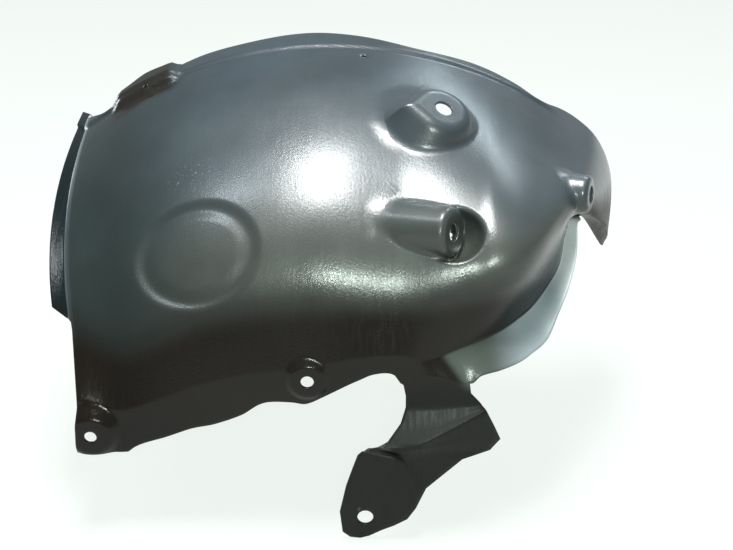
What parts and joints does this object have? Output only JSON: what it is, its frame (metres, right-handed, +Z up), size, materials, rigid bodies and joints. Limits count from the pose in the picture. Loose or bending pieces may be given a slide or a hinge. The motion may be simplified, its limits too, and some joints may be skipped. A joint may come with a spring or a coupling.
{
  "type": "wheel arch liner",
  "caption": "Thin moulded shell that lines a wheel arch, with hollow screw bosses, raised screw pads, a joggled lip, a stiffening groove, an outward flange and a folded tail.",
  "frame": {"origin": "centre of the middle screw hole, on the outer face of its pad", "axes": "+Z up, +X along the arch towards the end flange's far side and the turned-out flange, -Y out of the near wall along the middle screw hole"},
  "size_m": [0.4874, 0.2927, 0.3377],
  "materials": {
    "liner_plastic": "glossy with a fine grain"
  },
  "bodies": {
    "root": {"arch_liner": "liner_plastic"}
  },
  "joints": []
}
